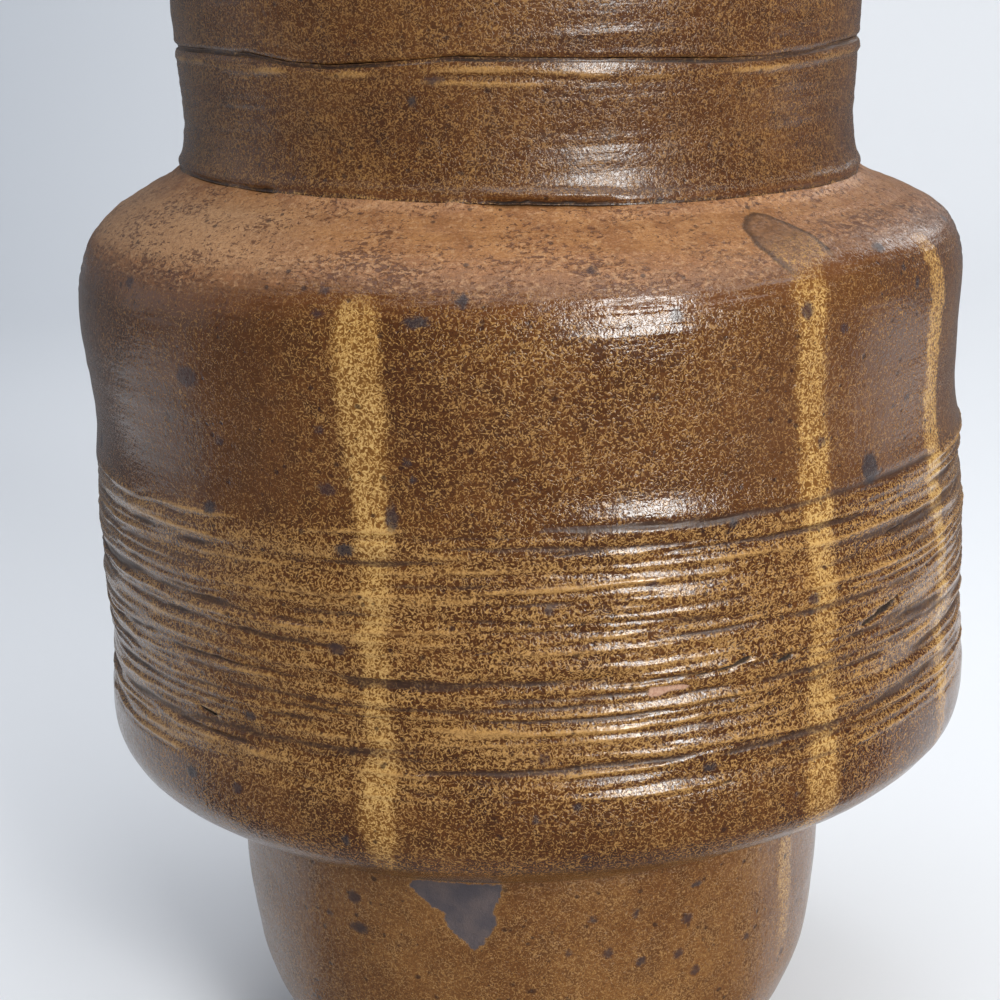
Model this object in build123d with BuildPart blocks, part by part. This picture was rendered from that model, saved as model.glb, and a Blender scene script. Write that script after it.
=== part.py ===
"""Stoneware vase built up from four wheel-thrown sections luted together with clay slip.

From the table upwards: a bowl-shaped foot with a turned foot ring, a squat drum with a
rounded shoulder and a band of tooled lines round its lower wall, a short neck collar, and
an upper neck with a thickened lip. Each lower section carries an inner tongue, and the
section above stands outside it on a flat seat. The slip that bonds each pair is a thin
stepped ring that fills the gap between tongue, seat and rebate.

Millimetres, +Z up. The origin is the centre of the circle that the foot ring stands on.
"""

from build123d import *
import os

# ---------------------------------------------------------------- driving dimensions
FOOT_RING_R = 40.0        # outer radius of the standing ring
FOOT_RING_IN_R = 33.0     # inner radius of the standing ring
FOOT_RECESS = 3.2         # depth of the turned recess under the foot
FLOOR_TOP = 10.2          # height of the vase's inside floor
SLIP = 0.8                # thickness of the luting slip in every joint

FOOT_SEAT_Z = 60.4        # seat on top of the foot bowl
FOOT_TONGUE_Z = 66.0      # top of the foot bowl's inner tongue
FOOT_TONGUE_IN = 50.5     # tongue, inner and outer radius
FOOT_TONGUE_OUT = 53.4
FOOT_TOP_R = 57.4         # outer radius of the foot bowl at its seat

NECK_SEAT_Z = 177.2       # seat on the drum's shoulder
NECK_TONGUE_Z = 182.4     # top of the drum's inner tongue
NECK_TONGUE_IN = 53.8
NECK_TONGUE_OUT = 56.7
NECK_SEAT_R = 61.6        # outer radius of the shoulder at the seat

COLLAR_SEAT_Z = 197.6     # seat on top of the neck collar
COLLAR_TONGUE_Z = 202.6
COLLAR_TONGUE_IN = 53.8
COLLAR_TONGUE_OUT = 56.7
COLLAR_R = 60.9           # outer radius of the collar at the seat

LIP_TOP_Z = 246.0         # top of the lip, the overall height

LINE_DEPTH = 0.55         # tooled lines in the drum's wall: depth, width, heights
LINE_WIDTH = 1.1
LINE_HEIGHTS = (
    84.6, 87.4, 92.0, 95.2, 99.4, 103.6, 108.2, 111.0, 115.6, 119.6, 123.2, 126.6, 130.2,
)

# Outer surfaces as (radius, height), bottom to top.
FOOT_OUTER = [
    (41.8, 4.9), (46.0, 9.6), (50.7, 17.6), (53.9, 25.6), (55.3, 33.6),
    (56.2, 41.6), (56.6, 49.6), (57.0, 55.6), (FOOT_TOP_R, FOOT_SEAT_Z),
]
FOOT_INNER = [
    (20.0, FLOOR_TOP), (28.0, 11.2), (35.0, 14.2), (41.0, 19.2), (45.6, 26.6),
    (48.0, 35.0), (49.4, 45.0), (50.2, 54.0), (FOOT_TONGUE_IN, 60.4),
]
DRUM_OUTER = [
    (58.2, 60.5 + SLIP), (64.0, 63.6), (72.0, 67.9), (76.2, 70.6), (78.6, 72.8),
    (80.4, 75.6), (81.3, 78.8), (81.4, 83.2), (80.7, 89.6), (80.3, 97.6), (80.7, 105.6),
    (80.5, 117.6), (79.6, 128.0), (79.4, 137.6), (80.0, 147.2), (80.5, 155.2),
    (80.0, 161.2), (77.9, 166.4), (73.7, 170.4), (67.4, 173.7), (63.2, 175.8),
    (NECK_SEAT_R, NECK_SEAT_Z),
]
DRUM_INNER = [
    (FOOT_TONGUE_OUT + SLIP, 68.4), (61.0, 70.2), (67.6, 73.8), (71.8, 79.4),
    (73.2, 87.0), (73.4, 97.6), (73.6, 110.0), (72.8, 124.0), (72.5, 138.0),
    (73.0, 149.0), (72.4, 156.8), (69.4, 162.4), (63.8, 166.2), (58.0, 169.4),
    (NECK_TONGUE_IN, 173.6),
]
COLLAR_OUTER = [
    (61.3, NECK_SEAT_Z + SLIP), (60.5, 181.0), (60.0, 185.6), (60.3, 191.0), (COLLAR_R, COLLAR_SEAT_Z),
]
RIM_OUTER = [
    (60.6, COLLAR_SEAT_Z + SLIP), (61.1, 202.6), (61.2, 207.6), (61.5, 214.6), (62.2, 222.4),
    (63.5, 230.2), (65.5, 237.4), (67.5, 242.2), (67.2, 245.2), (65.2, LIP_TOP_Z),
    (62.6, 244.6), (60.6, 240.0), (58.4, 231.0), (56.8, 221.0), (55.4, 211.0), (54.2, 205.4),
    (53.8, COLLAR_TONGUE_Z + SLIP),
]


def outer_radius_at(height):
    """The drum's outer radius at a height, read off the straight runs between its points."""
    for (r0, z0), (r1, z1) in zip(DRUM_OUTER, DRUM_OUTER[1:]):
        if z0 <= height <= z1:
            return r0 + (r1 - r0) * (height - z0) / (z1 - z0)
    raise ValueError(f"no drum wall at height {height}")


# ---------------------------------------------------------------- foot bowl
with BuildPart() as foot_bowl:
    with BuildSketch(Plane.XZ) as foot_profile:
        with BuildLine() as foot_line:
            Spline(*FOOT_OUTER)
            Polyline(
                FOOT_OUTER[-1],
                (FOOT_TONGUE_OUT, FOOT_SEAT_Z),
                (FOOT_TONGUE_OUT, FOOT_TONGUE_Z - 0.6),
                (FOOT_TONGUE_OUT - 0.6, FOOT_TONGUE_Z),
                (FOOT_TONGUE_IN + 0.6, FOOT_TONGUE_Z),
                (FOOT_TONGUE_IN, FOOT_TONGUE_Z - 0.6),
                FOOT_INNER[-1],
            )
            Spline(*FOOT_INNER)
            Polyline(
                FOOT_INNER[0],
                (0, FLOOR_TOP),
                (0, FOOT_RECESS),
                (FOOT_RING_IN_R - 1.4, FOOT_RECESS),
                (FOOT_RING_IN_R, FOOT_RECESS - 1.4),
                (FOOT_RING_IN_R, 0.7),
                (FOOT_RING_IN_R + 0.7, 0),
                (FOOT_RING_R - 0.8, 0),
                (FOOT_RING_R, 0.8),
                (FOOT_RING_R + 0.2, 4.0),
                FOOT_OUTER[0],
            )
        make_face()
    revolve(axis=Axis.Z)
foot_bowl.part.label = "foot_bowl"

# ---------------------------------------------------------------- drum with shoulder
with BuildPart() as body_drum:
    with BuildSketch(Plane.XZ) as drum_profile:
        with BuildLine() as drum_line:
            Spline(*DRUM_OUTER)
            Polyline(
                DRUM_OUTER[-1],
                (NECK_TONGUE_OUT, NECK_SEAT_Z),
                (NECK_TONGUE_OUT, NECK_TONGUE_Z - 0.6),
                (NECK_TONGUE_OUT - 0.6, NECK_TONGUE_Z),
                (NECK_TONGUE_IN + 0.6, NECK_TONGUE_Z),
                (NECK_TONGUE_IN, NECK_TONGUE_Z - 0.6),
                DRUM_INNER[-1],
            )
            Spline(*DRUM_INNER)
            Polyline(
                DRUM_INNER[0],
                (FOOT_TONGUE_OUT + SLIP, FOOT_SEAT_Z + SLIP),
                (DRUM_OUTER[0][0], FOOT_SEAT_Z + SLIP),
                DRUM_OUTER[0],
            )
        make_face()
    revolve(axis=Axis.Z)
    # The tooled lines are shallow vee grooves round the lower wall.
    for height in LINE_HEIGHTS:
        radius = outer_radius_at(height)
        with BuildSketch(Plane.XZ) as vee:
            with BuildLine():
                Polyline(
                    (radius - LINE_DEPTH, height),
                    (radius + 1.6, height - LINE_WIDTH / 2 * (1.6 + LINE_DEPTH) / LINE_DEPTH),
                    (radius + 1.6, height + LINE_WIDTH / 2 * (1.6 + LINE_DEPTH) / LINE_DEPTH),
                    close=True,
                )
            make_face()
        revolve(axis=Axis.Z, mode=Mode.SUBTRACT)
body_drum.part.label = "body_drum"

# ---------------------------------------------------------------- neck collar
with BuildPart() as neck_collar:
    with BuildSketch(Plane.XZ) as collar_profile:
        with BuildLine() as collar_line:
            Spline(*COLLAR_OUTER)
            Polyline(
                COLLAR_OUTER[-1],
                (COLLAR_TONGUE_OUT, COLLAR_SEAT_Z),
                (COLLAR_TONGUE_OUT, COLLAR_TONGUE_Z - 0.6),
                (COLLAR_TONGUE_OUT - 0.6, COLLAR_TONGUE_Z),
                (COLLAR_TONGUE_IN + 0.6, COLLAR_TONGUE_Z),
                (COLLAR_TONGUE_IN, COLLAR_TONGUE_Z - 0.6),
                (NECK_TONGUE_IN, NECK_TONGUE_Z + SLIP),
                (NECK_TONGUE_OUT + SLIP, NECK_TONGUE_Z + SLIP),
                (NECK_TONGUE_OUT + SLIP, NECK_SEAT_Z + SLIP),
                COLLAR_OUTER[0],
            )
        make_face()
    revolve(axis=Axis.Z)
neck_collar.part.label = "neck_collar"

# ---------------------------------------------------------------- upper neck and lip
with BuildPart() as neck_rim:
    with BuildSketch(Plane.XZ) as rim_profile:
        with BuildLine() as rim_line:
            Spline(*RIM_OUTER)
            Polyline(
                RIM_OUTER[-1],
                (COLLAR_TONGUE_OUT + SLIP, COLLAR_TONGUE_Z + SLIP),
                (COLLAR_TONGUE_OUT + SLIP, COLLAR_SEAT_Z + SLIP),
                RIM_OUTER[0],
            )
        make_face()
    revolve(axis=Axis.Z)
neck_rim.part.label = "neck_rim"

# ---------------------------------------------------------------- luting slip rings
# Foot joint: seat, riser beside the tongue, and a small fillet squeezed out under the drum.
with BuildPart() as foot_joint_slip:
    with BuildSketch(Plane.XZ):
        with BuildLine():
            Polyline(
                (FOOT_TONGUE_OUT, FOOT_SEAT_Z),
                (FOOT_TOP_R, FOOT_SEAT_Z),
                (FOOT_TOP_R + 0.8, FOOT_SEAT_Z + SLIP),
                (FOOT_TONGUE_OUT + SLIP, FOOT_SEAT_Z + SLIP),
                (FOOT_TONGUE_OUT + SLIP, FOOT_TONGUE_Z - 0.6),
                (FOOT_TONGUE_OUT, FOOT_TONGUE_Z - 0.6),
                close=True,
            )
        make_face()
    revolve(axis=Axis.Z)
foot_joint_slip.part.label = "foot_joint_slip"


def stepped_ring(tongue_out, tongue_in, seat_z, tongue_z, seat_r, over_r, chamfer=0.6):
    """The slip between a tongued section and the rebated section above it, as an (r, z) outline."""
    return [
        (tongue_out, seat_z),
        (seat_r, seat_z),
        (over_r, seat_z + SLIP),
        (tongue_out + SLIP, seat_z + SLIP),
        (tongue_out + SLIP, tongue_z + SLIP),
        (tongue_in, tongue_z + SLIP),
        (tongue_in, tongue_z - chamfer),
        (tongue_in + chamfer, tongue_z),
        (tongue_out - chamfer, tongue_z),
        (tongue_out, tongue_z - chamfer),
    ]


with BuildPart() as neck_joint_slip:
    with BuildSketch(Plane.XZ):
        with BuildLine():
            Polyline(
                *stepped_ring(
                    NECK_TONGUE_OUT, NECK_TONGUE_IN, NECK_SEAT_Z, NECK_TONGUE_Z,
                    NECK_SEAT_R, COLLAR_OUTER[0][0],
                ),
                close=True,
            )
        make_face()
    revolve(axis=Axis.Z)
neck_joint_slip.part.label = "neck_joint_slip"

with BuildPart() as collar_joint_slip:
    with BuildSketch(Plane.XZ):
        with BuildLine():
            Polyline(
                *stepped_ring(
                    COLLAR_TONGUE_OUT, COLLAR_TONGUE_IN, COLLAR_SEAT_Z, COLLAR_TONGUE_Z,
                    COLLAR_R, RIM_OUTER[0][0],
                ),
                close=True,
            )
        make_face()
    revolve(axis=Axis.Z)
collar_joint_slip.part.label = "collar_joint_slip"

# ---------------------------------------------------------------- export
os.makedirs("parts", exist_ok=True)
for piece in (
    foot_bowl, foot_joint_slip, body_drum, neck_joint_slip, neck_collar,
    collar_joint_slip, neck_rim,
):
    export_step(piece.part, f"parts/{piece.part.label}.step")
    print(piece.part.label, round(piece.part.volume), "mm3")
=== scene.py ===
import math

import bpy
import numpy as np
from mathutils import Matrix, Vector


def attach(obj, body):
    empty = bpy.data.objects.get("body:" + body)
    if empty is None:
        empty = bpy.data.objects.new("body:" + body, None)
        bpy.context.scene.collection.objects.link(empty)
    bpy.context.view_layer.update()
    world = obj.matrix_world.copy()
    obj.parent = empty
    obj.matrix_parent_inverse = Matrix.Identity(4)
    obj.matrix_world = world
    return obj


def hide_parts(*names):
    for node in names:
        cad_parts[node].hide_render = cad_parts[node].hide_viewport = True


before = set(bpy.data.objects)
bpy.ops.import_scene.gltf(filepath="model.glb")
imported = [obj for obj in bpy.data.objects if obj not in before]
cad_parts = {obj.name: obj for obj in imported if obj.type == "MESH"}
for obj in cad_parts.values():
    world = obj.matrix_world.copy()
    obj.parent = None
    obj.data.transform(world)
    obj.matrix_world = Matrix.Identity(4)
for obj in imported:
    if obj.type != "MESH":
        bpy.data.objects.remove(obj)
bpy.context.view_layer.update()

TAU = 2 * math.pi

# ------------------------------------------------------------------ profiles, (radius, height) in mm
FOOT_OUTER = [
    (41.8, 4.9), (46.0, 9.6), (50.7, 17.6), (53.9, 25.6), (55.3, 33.6),
    (56.2, 41.6), (56.6, 49.6), (57.0, 55.6), (57.5, 60.4),
]
FOOT_INNER = [
    (50.5, 60.4), (50.2, 54.0), (49.4, 45.0), (48.0, 35.0), (45.6, 26.6),
    (41.0, 19.2), (35.0, 14.2), (28.0, 11.2), (20.0, 10.2), (8.0, 10.0), (0.0, 10.0),
]
DRUM_UNDER = [(58.4, 61.2), (64.0, 63.4), (72.0, 67.7), (76.2, 70.5), (78.6, 72.8)]
DRUM_WALL = [
    (78.6, 72.8), (80.4, 75.6), (81.2, 78.8), (81.3, 83.2), (80.7, 89.6), (80.3, 97.6), (80.7, 105.6),
    (80.5, 117.6), (79.6, 128.0), (79.4, 137.6), (80.0, 147.2), (80.5, 155.2), (80.0, 161.2),
    (77.9, 166.4), (73.7, 170.4), (67.4, 173.7), (63.2, 175.8), (61.6, 177.2),
]
DRUM_INNER = [
    (53.8, 181.8), (53.8, 173.6), (58.0, 169.4), (63.8, 166.2), (69.4, 162.4), (72.4, 156.8), (73.0, 149.0),
    (72.5, 138.0), (72.8, 124.0), (73.6, 110.0), (73.4, 97.6), (73.2, 87.0), (71.8, 79.4),
    (67.6, 73.8), (61.0, 70.2), (54.2, 68.4),
]
COLLAR_OUTER = [(61.4, 178.0), (60.5, 181.0), (60.0, 185.6), (60.3, 191.0), (60.9, 197.6)]
RIM_OUTER = [
    (60.6, 198.4), (61.1, 202.6), (61.2, 207.6), (61.5, 214.6), (62.2, 222.4), (63.5, 230.2),
    (65.5, 237.4), (67.3, 242.0),
]
RIM_LIP = [(67.3, 242.0), (67.6, 243.6), (67.2, 245.1), (66.2, 245.9), (65.0, 245.9), (63.6, 245.2), (62.6, 244.2)]
RIM_INNER = [
    (62.6, 244.2), (60.6, 240.0), (58.4, 231.0), (56.8, 221.0), (55.4, 211.0), (54.2, 205.4), (53.8, 203.4),
]


def flow(points, spacing, tension=0.5):
    """A centripetal Catmull-Rom run through the points, sampled about every spacing mm."""
    p = np.asarray(points, float)
    if len(p) == 2:
        n = max(1, int(math.ceil(np.hypot(*(p[1] - p[0])) / spacing)))
        return p[0] + (p[1] - p[0]) * np.linspace(0, 1, n + 1)[:, None]
    q = np.vstack([2 * p[0] - p[1], p, 2 * p[-1] - p[-2]])
    fine = []
    for i in range(1, len(q) - 2):
        a, b, c, d = q[i - 1:i + 3]
        t0 = 0.0
        t1 = t0 + np.hypot(*(b - a)) ** tension
        t2 = t1 + np.hypot(*(c - b)) ** tension
        t3 = t2 + np.hypot(*(d - c)) ** tension
        t = np.linspace(t1, t2, 24, endpoint=False)[:, None]
        a1 = (t1 - t) / (t1 - t0) * a + (t - t0) / (t1 - t0) * b
        a2 = (t2 - t) / (t2 - t1) * b + (t - t1) / (t2 - t1) * c
        a3 = (t3 - t) / (t3 - t2) * c + (t - t2) / (t3 - t2) * d
        b1 = (t2 - t) / (t2 - t0) * a1 + (t - t0) / (t2 - t0) * a2
        b2 = (t3 - t) / (t3 - t1) * a2 + (t - t1) / (t3 - t1) * a3
        fine.append((t2 - t) / (t2 - t1) * b1 + (t - t1) / (t2 - t1) * b2)
    fine = np.vstack(fine + [p[-1:]])
    s = np.r_[0, np.cumsum(np.hypot(*np.diff(fine, axis=0).T))]
    if callable(spacing):
        at, out = 0.0, [0.0]
        while at < s[-1]:
            at += spacing(np.interp(at, s, fine[:, 1]))
            out.append(at)
        out = np.array(out) * (s[-1] / out[-1])
    else:
        out = np.linspace(0, s[-1], max(1, int(math.ceil(s[-1] / spacing))) + 1)
    return np.stack([np.interp(out, s, fine[:, 0]), np.interp(out, s, fine[:, 1])], 1)


# Height against length along the outside, for features measured along the surface.
SKIN = np.vstack([
    [(40.0, 0.0), (40.2, 4.0)], flow(FOOT_OUTER, 0.4), flow(DRUM_UNDER, 0.4), flow(DRUM_WALL, 0.4)[1:],
    flow(COLLAR_OUTER, 0.4), flow(RIM_OUTER, 0.4),
])
SKIN = SKIN[np.r_[True, np.diff(SKIN[:, 1]) > 1e-4]]
SKIN_S = np.r_[0, np.cumsum(np.hypot(*np.diff(SKIN, axis=0).T))]


def along(z):
    return np.interp(z, SKIN[:, 1], SKIN_S)


def radius_at(z):
    return np.interp(z, SKIN[:, 1], SKIN[:, 0])


# ------------------------------------------------------------------ seeded noise
def lattice(u, v, nu, seed, nv=997):
    """Smooth noise from -1 to 1 that closes round u = 0..1 in nu cells; v is in cells."""
    g = np.random.default_rng(seed).random((nu, nv)) * 2 - 1
    x = (u % 1.0) * nu
    y = v % nv
    xi, yi = np.floor(x).astype(int), np.floor(y).astype(int)
    fx, fy = x - xi, y - yi
    fx, fy = fx * fx * (3 - 2 * fx), fy * fy * (3 - 2 * fy)
    x0, x1, y0, y1 = xi % nu, (xi + 1) % nu, yi % nv, (yi + 1) % nv
    return (g[x0, y0] * (1 - fx) * (1 - fy) + g[x1, y0] * fx * (1 - fy)
            + g[x0, y1] * (1 - fx) * fy + g[x1, y1] * fx * fy)


def layered(u, v, nu, seed, octaves=3, gain=0.55):
    out, amp, total = 0.0, 1.0, 0.0
    for k in range(octaves):
        out = out + amp * lattice(u + 0.137 * k, v * 2 ** k + 31.7 * k, nu * 2 ** k, seed + 101 * k)
        total += amp
        amp *= gain
    return out / total * 1.35


def smooth(lo, hi, x):
    t = np.clip((x - lo) / (hi - lo), 0, 1)
    return t * t * (3 - 2 * t)


def turn(a):
    """An angle difference in degrees, from -180 to 180."""
    return (a + 180.0) % 360.0 - 180.0


# ------------------------------------------------------------------ how far the thrown shape strays from round
NECK_SEAM = [
    (-180, 177.6), (-140, 178.6), (-100, 179.3), (-65, 179.3), (-41, 178.6), (-20, 178.0), (0, 177.2), (10, 176.5),
    (20, 176.0), (40, 175.4), (65, 174.9), (100, 175.1), (140, 176.3), (180, 177.6),
]
COLLAR_SEAM = [
    (-180, 198.2), (-120, 199.3), (-80, 200.0), (-58, 200.1), (-46, 199.7), (-38, 198.5), (-30, 198.0), (-20, 198.4),
    (-10, 199.0), (0, 198.5), (10, 198.0), (20, 197.5), (30, 196.8), (40, 196.5), (50, 196.8), (60, 197.3),
    (90, 197.4), (130, 197.6), (180, 198.2),
]
GLINT = [(-60, 198.5), (-50, 197.3), (-38, 197.4), (-30, 196.8), (-10, 197.2), (0, 197.1), (10, 195.8), (20, 195.1), (40, 195.0)]
LEAN = ([0, 45, 60, 75, 90, 130, 150, 178, 200, 246], [-2.2, -2.1, -1.8, -0.3, 0.1, -0.4, -1.06, 0.0, 0.3, 0.3])
TILT = ([0, 60, 75, 160, 246], [0, 0.0104, 0, 0, -0.01])


def ring_curve(points, az):
    a, b = np.array(points, float).T
    return np.interp(turn(az), a, b)


def settle(x, y, z):
    """Lean and tilt of the vase: sections set slightly off centre, joints not quite level."""
    az = np.degrees(np.arctan2(x, -y))
    r = np.hypot(x, y)
    k = np.clip(r / 58.0, 0, 1)
    neck = (ring_curve(NECK_SEAM, az) - 177.6) * k
    collar = (ring_curve(COLLAR_SEAM, az) - 198.0) * k
    top = -0.010 * x
    near = np.interp(z, TILT[0][:4], TILT[1][:4]) * x * (z < 160)
    dz = np.select(
        [z <= 160, z <= 177.6, z <= 198.0, z <= 246],
        [near, neck * smooth(160, 177.6, z), neck + (collar - neck) * smooth(177.6, 198.0, z),
         collar + (top - collar) * smooth(198.0, 232.0, z)], top)
    return x + np.interp(z, *LEAN), y, z + dz


# ------------------------------------------------------------------ the combed and torn band
def comb_lines(seed):
    """Lines of the band, all the way round: (strength, first and last azimuth, heights between them).

    Courses 0.85 mm apart on average are ridges and cuts in turn. Each is broken into runs with torn gaps between,
    and every run wanders a little in height, on top of the slow rise and fall of the tool.
    """
    rng = np.random.default_rng(seed)
    courses, bottom, top = 52, 85.2, 128.6
    out = []
    for k in range(courses):
        z0 = bottom + (top - bottom) * k / (courses - 1) + rng.uniform(-0.42, 0.42)
        strong = float(np.clip(rng.lognormal(-0.28, 0.38), 0.32, 1.45))
        at = rng.uniform(-180, -120)
        stop = at + 352
        while at < stop:
            span = float(np.clip(rng.lognormal(3.35, 0.6), 11, 105))
            end = min(at + span, stop)
            if end - at < 8:
                break
            n = max(3, int((end - at) / 8))
            knots = np.radians(np.linspace(at, end, n))
            drift = 0.34 * np.sin(knots + 0.9) + 0.20 * np.sin(2 * knots + z0 * 0.06) + 0.14 * np.sin(5 * knots + z0 * 0.11)
            walk = np.cumsum(rng.normal(0, 0.33, n))
            sign = (1 if k % 2 else -1) * (1 if rng.random() < 0.88 else -1)
            out.append((sign * strong * rng.uniform(0.75, 1.15), at, end, list(z0 + drift + walk - walk.mean())))
            at = end + rng.uniform(3, 26)
    return out


COMB_LINES = comb_lines(417)


def comb(az, z):
    """Raised and cut lines of the band, each about 1 mm wide, as (relief, tone)."""
    relief, tone = np.zeros_like(z), np.zeros_like(z)
    sel = np.flatnonzero((z > 79) & (z < 133))
    a, zz = az[sel], z[sel]
    u = (a + 180) / 360
    rel, ton = np.zeros_like(zz), np.zeros_like(zz)
    for k, (s, a0, a1, heights) in enumerate(COMB_LINES):
        mid, half = (a0 + a1) / 2, (a1 - a0) / 2
        d = turn(a - mid)
        m = np.flatnonzero(np.abs(d) < half + 4)
        zl = np.interp(d[m], np.linspace(-half, half, len(heights)), heights)
        zl = zl + 0.16 * lattice(u[m], zz[m] * 0, 150, 900 + k, 3)
        off = zz[m] - zl
        ends = smooth(half + 3.5, half - 1.5, np.abs(d[m]))
        torn = 0.92 + 0.28 * lattice(u[m], zz[m] * 0, 90, 1300 + k, 3) + 0.18 * lattice(u[m], zz[m] * 0, 330, 1700 + k, 3)
        amp = abs(s) * ends * torn
        if s > 0:
            rel[m] += 0.31 * amp * (np.exp(-(off / 0.42) ** 2) - 0.42 * np.exp(-((off + 0.75) / 0.40) ** 2))
            ton[m] += amp * np.exp(-(off / 0.44) ** 2)
        else:
            rel[m] -= 0.30 * amp * np.exp(-(off / 0.42) ** 2)
            ton[m] -= amp * np.exp(-(off / 0.50) ** 2)
    relief[sel], tone[sel] = rel, ton
    return relief, tone


# ------------------------------------------------------------------ painted and fired marks
# (centre azimuth, half width mm, strength) by height, from the shoulder down
STRIPES = [
    [(166, -19.2, 2.6, 0.7), (163, -19.2, 3.9, 1), (150, -19.3, 3.9, 1), (140, -19.2, 3.5, 1), (130, -18.6, 3.1, 1),
     (120, -18.9, 2.5, .62), (100, -19.2, 2.4, .62), (88, -19.6, 2.7, .7), (80, -19.8, 3.2, .9), (72, -19.8, 2.6, .7), (69, -19.8, 0.5, .2)],
    [(168, 33.6, 3.2, .85), (164, 32.9, 3.2, 1), (150, 32.9, 3.1, 1), (140, 33.3, 3.2, 1), (130, 33.6, 3.2, 1),
     (110, 34, 2.4, .6), (90, 34, 2.8, .7), (80, 34, 3.7, .95), (72, 34.0, 3.2, .7), (68, 34, 0.5, .2)],
    [(167, 57.6, 2.2, 1), (160, 58.6, 3.4, 1.25), (130, 58.8, 3.4, 1.25), (110, 60.4, 2.4, .8), (85, 60.6, 2.4, .8), (73, 60.6, 2.0, .7), (69, 60.4, .4, .2)],
    [(165, 103.6, 3.6, .9), (130, 104.2, 3.2, 1), (100, 104.8, 2.2, .6), (78, 105, 3.0, .9), (69, 105, .5, .2)],
    [(166, 138.2, 4.0, .9), (128, 139.4, 3.0, 1), (100, 139.2, 2.3, .6), (76, 138.8, 3.2, .9), (68, 139, .5, .2)],
    [(165, 172.6, 3.4, .9), (130, 171.8, 3.3, 1), (100, 171.2, 2.2, .6), (80, 171, 3.1, .9), (70, 171, .4, .2)],
    [(166, 221.2, 3.9, .9), (130, 220.4, 3.0, 1), (100, 220.9, 2.4, .6), (78, 221.2, 2.8, .9), (69, 221, .4, .2)],
    [(164, 258.2, 3.2, .9), (130, 258.8, 3.4, 1), (100, 258, 2.2, .6), (80, 257.6, 3.2, .9), (69, 257.6, .4, .2)],
]
FOOT_STRIPES = [
    [(57, 52.2, 1.2, .5), (54, 52.5, 2.7, .9), (45, 53.2, 2.6, .9), (35, 54.2, 2.2, .7), (30, 54.6, .4, .2)],
    [(56, 139, 2.0, .6), (40, 139.5, 2.4, .8), (28, 139.5, .5, .2)],
    [(57, 220.8, 2.2, .6), (44, 220.4, 2.5, .8), (33, 220.2, .5, .2)],
]
# azimuth, height, half length round, half height, softness
SPECKS = [
    (-42.7, 151.3, 3.1, 2.0, .9), (-38.6, 141.4, 1.3, 1.0, .5), (-24.4, 145, 1.2, 1.0, .6), (-24.2, 135.5, 2.2, 1.3, .8),
    (-16.5, 131.5, 1.1, 2.2, .2), (-41, 130, 1.6, 1.2, .4), (-54.8, 164.5, 1.6, 1.2, .5), (-7.6, 165, 1.2, 1.5, .6),
    (-12.5, 162, 3.0, 1.3, 1.1), (-23.5, 166.3, 1.2, .9, .5), (-24, 163, 1.5, 1.0, .8), (-14.4, 140.3, .8, .8, .1),
    (-13.8, 137.7, .7, .7, .1), (42.9, 131.6, 2.2, 3.0, .5), (32, 159.6, 1.4, 1.6, .4), (37.6, 155.8, 1.0, .9, .2),
    (34.7, 138.1, .9, 1.1, .2), (51.3, 141.1, 1.0, .9, .4), (15.5, 161.5, 1.2, 1.4, .5), (6.9, 168.5, 1.1, .9, .2),
    (19.5, 176.2, 1.0, .6, .2), (50.2, 163, .8, .8, .3), (47, 166.6, 2.2, 1.2, .9), (52.5, 160, 1.0, 1.6, .9),
    (-22.2, 126, 1.6, 1.1, .2), (-23.7, 109.8, 1.6, 1.1, .2), (-36.8, 95.4, 1.3, 1.1, .4), (-0.35, 92.5, .9, 1.5, .4),
    (-1.4, 82.6, .8, .8, .2), (-39, 82.3, 1.5, 1.3, .6), (-47.2, 82.3, 1.6, 1.4, .6), (-24, 77.3, 1.0, 1.6, .5),
    (32.7, 113.1, 1.2, 1.1, .2), (21.9, 127.9, .9, .9, .2), (12, 120, 1.6, .7, .4), (0.7, 117, 1.0, 1.0, .5),
    (18.6, 88.5, 1.3, 1.0, .5), (3.1, 84.5, .9, .9, .3), (67.9, 91, 1.3, 1.2, .4), (-16.5, 192.8, .8, .8, .2),
    (-13, 195.8, 1.6, .6, .2), (-36.5, 53.4, 1.6, 1.4, .4), (-36, 47.5, 2.6, 1.3, .8), (27.9, 54.9, 1.5, .8, .4),
    (7.6, 52, .9, .8, .2), (15.5, 52, .8, 1.0, .2), (10.3, 45, 1.2, 1.0, .3), (3, 46, .8, .8, .2), (25.9, 48.5, 1.5, 1.2, .6),
    (16.4, 42.3, 1.1, 1.1, .4), (24, 42, 1.2, 1.1, .4), (-43, 48.5, .9, .8, .3), (28.1, 37.5, 1.2, 1.1, .3),
    (41, 40, .8, .8, .2), (55.7, 30.5, 1.0, 1.0, .3), (-29, 71.5, 1.4, .8, .4), (4, 75.5, .9, .7, .3), (30, 80.5, .8, .7, .3),
]
g = np.random.default_rng(83)
for _ in range(74):
    SPECKS.append((g.uniform(72, 292), g.choice([g.uniform(130, 168), g.uniform(22, 58), g.uniform(76, 130), g.uniform(179, 242)],
                   p=[.4, .25, .25, .1]), g.uniform(.7, 2.0), g.uniform(.7, 1.7), g.uniform(.15, .9)))
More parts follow.
